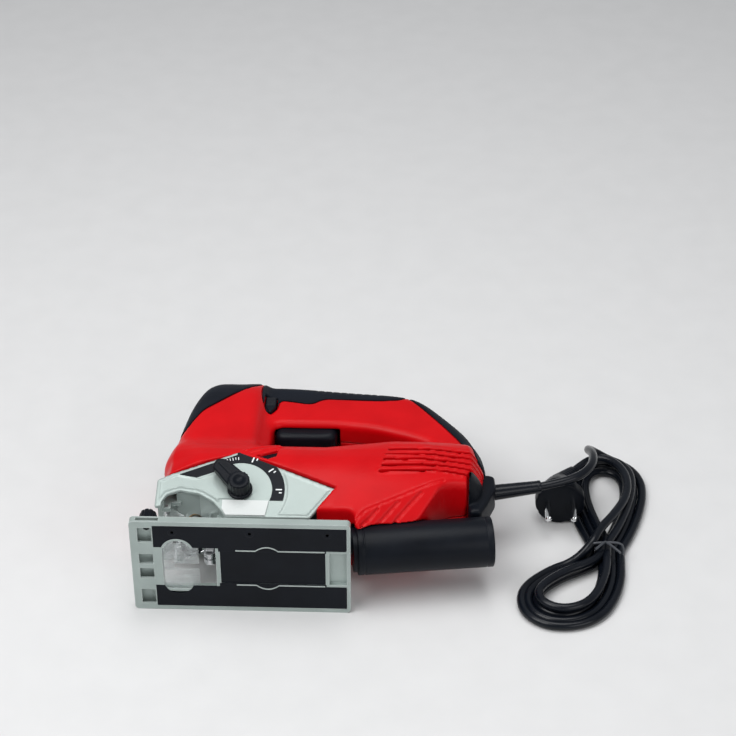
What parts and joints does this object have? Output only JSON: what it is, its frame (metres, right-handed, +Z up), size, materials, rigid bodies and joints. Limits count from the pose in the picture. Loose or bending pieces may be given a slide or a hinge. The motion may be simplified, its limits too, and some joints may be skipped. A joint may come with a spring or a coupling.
{
  "type": "jigsaw power tool",
  "caption": "Corded handheld jigsaw with closed handle, tilting shoe, orbit selector, clear guard, dust tube and a tied hank of cord with plug, lying on its side.",
  "frame": {"origin": "centre of the lying tool's footprint box, on the surface that it lies on, measured without the cord", "axes": "+X towards the tool's rear, +Y towards its handle, +Z up, out of its left side"},
  "size_m": [0.3759, 0.2219, 0.0835],
  "materials": {
    "housing_red": "moulded ABS, satin gloss",
    "soft_grip": "moulded elastomer, fine matt grain",
    "black_plastic": "moulded glass-filled nylon",
    "cast_grey": "die-cast light metal, blasted",
    "pale_bracket": "white powder coat",
    "steel": "ground and hardened",
    "bright_pin": "nickel plated",
    "copper": "enamelled copper wire and hard copper",
    "lamination": "stacked electrical sheet",
    "carbon": "pressed graphite",
    "clear_plastic": "clear polycarbonate",
    "pale_plastic": "milky clear plastic",
    "cord_black": "smooth PVC jacket",
    "tie_white": "plastic covered wire",
    "bronze": "sintered bronze",
    "board_green": "circuit board"
  },
  "bodies": {
    "root": {"housing_left": "housing_red", "housing_right": "housing_red", "front_cap_grip": "soft_grip", "handle_grip": "soft_grip", "rear_grip": "soft_grip", "side_panel_left": "cast_grey", "side_panel_right": "cast_grey", "nose_cover": "cast_grey", "gear_case": "cast_grey", "plunger_bushes": "bronze", "scale_plate": "black_plastic", "panel_block": "pale_bracket", "housing_screws": "steel", "stator_core": "lamination", "field_coils": "copper", "brush_holders": "black_plastic", "carbon_brushes": "carbon", "motor_bearings": "steel", "air_baffle": "black_plastic", "gear_axle": "steel", "pivot_pins": "steel", "wire_guard": "bright_pin", "power_switch": "black_plastic", "suppression_capacitor": "black_plastic", "speed_board": "board_green", "dust_duct": "black_plastic", "strain_relief": "cord_black", "cord_clamp": "black_plastic", "bevel_screws": "steel", "cord": "cord_black", "cord_hank": "cord_black", "twist_tie": "tie_white", "plug_body": "cord_black", "plug_pins": "bright_pin"},
    "armature": {"armature_shaft": "steel", "armature_core": "lamination", "armature_windings": "copper", "commutator": "copper", "cooling_fan": "black_plastic", "motor_pinion": "steel"},
    "drive_gear": {"drive_gear": "steel", "eccentric_pin": "steel"},
    "plunger": {"plunger": "steel"},
    "blade_clamp": {"blade_clamp": "black_plastic"},
    "orbit_fork": {"orbit_fork": "steel", "roller_pin": "steel"},
    "guide_roller": {"guide_roller": "steel"},
    "clear_guard": {"clear_guard": "clear_plastic"},
    "shoe": {"shoe": "cast_grey", "bevel_bracket": "cast_grey", "sole_pads": "black_plastic", "splinter_insert": "pale_plastic"},
    "guide_knob": {"guide_knob": "black_plastic"},
    "trigger": {"trigger": "black_plastic"},
    "lock_button": {"lock_button": "black_plastic"},
    "speed_dial": {"speed_dial": "black_plastic"},
    "orbit_selector": {"orbit_selector": "black_plastic"},
    "dust_tube": {"dust_tube": "black_plastic"}
  },
  "joints": [
    {"name": "shoe_bevel", "type": "hinge", "parent": "root", "child": "shoe", "pos_m": [-0.051, -0.099, 0.04], "axis": [1, 0, 0], "range_deg": [-45, 45]},
    {"name": "guide_knob_turn", "type": "hinge", "parent": "shoe", "child": "guide_knob", "pos_m": [-0.1165, -0.087, 0.071], "axis": [0, 1, 0], "range_deg": [0, 720]},
    {"name": "trigger_pull", "type": "hinge", "parent": "root", "child": "trigger", "pos_m": [-0.0345, 0.054, 0.04], "axis": [0, 0, 1], "range_deg": [0, 7], "stiffness_Nm_per_rad": 2, "springref_deg": -11.46},
    {"name": "lock_button_press", "type": "slide", "parent": "root", "child": "lock_button", "axis": [0, 0, -1], "range_m": [0, 0.003], "stiffness_N_per_m": 400, "springref_m": -0.002},
    {"name": "speed_dial_turn", "type": "hinge", "parent": "root", "child": "speed_dial", "pos_m": [0.076, 0.069, 0.04], "axis": [0, 0, 1], "range_deg": [-140, 140]},
    {"name": "orbit_select", "type": "hinge", "parent": "root", "child": "orbit_selector", "pos_m": [-0.055, -0.049, 0.0678], "axis": [0, -0.2873, 0.9578], "range_deg": [-111, 0]},
    {"name": "armature_spin", "type": "hinge", "parent": "root", "child": "armature", "pos_m": [0.012, -0.023, 0.04], "axis": [1, 0, 0], "continuous": true},
    {"name": "gear_spin", "type": "hinge", "parent": "root", "child": "drive_gear", "pos_m": [-0.066, 0.0026, 0.04], "axis": [1, 0, 0], "continuous": true},
    {"name": "plunger_stroke", "type": "slide", "parent": "root", "child": "plunger", "axis": [0, 1, 0], "range_m": [-0.01, 0.01]},
    {"name": "clamp_turn", "type": "hinge", "parent": "plunger", "child": "blade_clamp", "pos_m": [-0.088, -0.074, 0.04], "axis": [0, 1, 0], "range_deg": [0, 40], "stiffness_Nm_per_rad": 0.05, "springref_deg": -17.19},
    {"name": "fork_swing", "type": "hinge", "parent": "root", "child": "orbit_fork", "pos_m": [-0.068, -0.0675, 0.04], "axis": [0, 0, -1], "range_deg": [0, 3]},
    {"name": "roller_spin", "type": "hinge", "parent": "orbit_fork", "child": "guide_roller", "pos_m": [-0.074, -0.089, 0.04], "axis": [0, 0, 1], "continuous": true},
    {"name": "guard_swing", "type": "hinge", "parent": "root", "child": "clear_guard", "pos_m": [-0.108, -0.054, 0.04], "axis": [0, 0, -1], "range_deg": [0, 60]},
    {"name": "dust_tube_pull", "type": "slide", "parent": "root", "child": "dust_tube", "axis": [0.9914, 0.1305, 0], "range_m": [0, 0.045]}
  ],
  "couplings": [
    {"joint": "gear_spin", "follows": "armature_spin", "ratio": -0.16364}
  ]
}
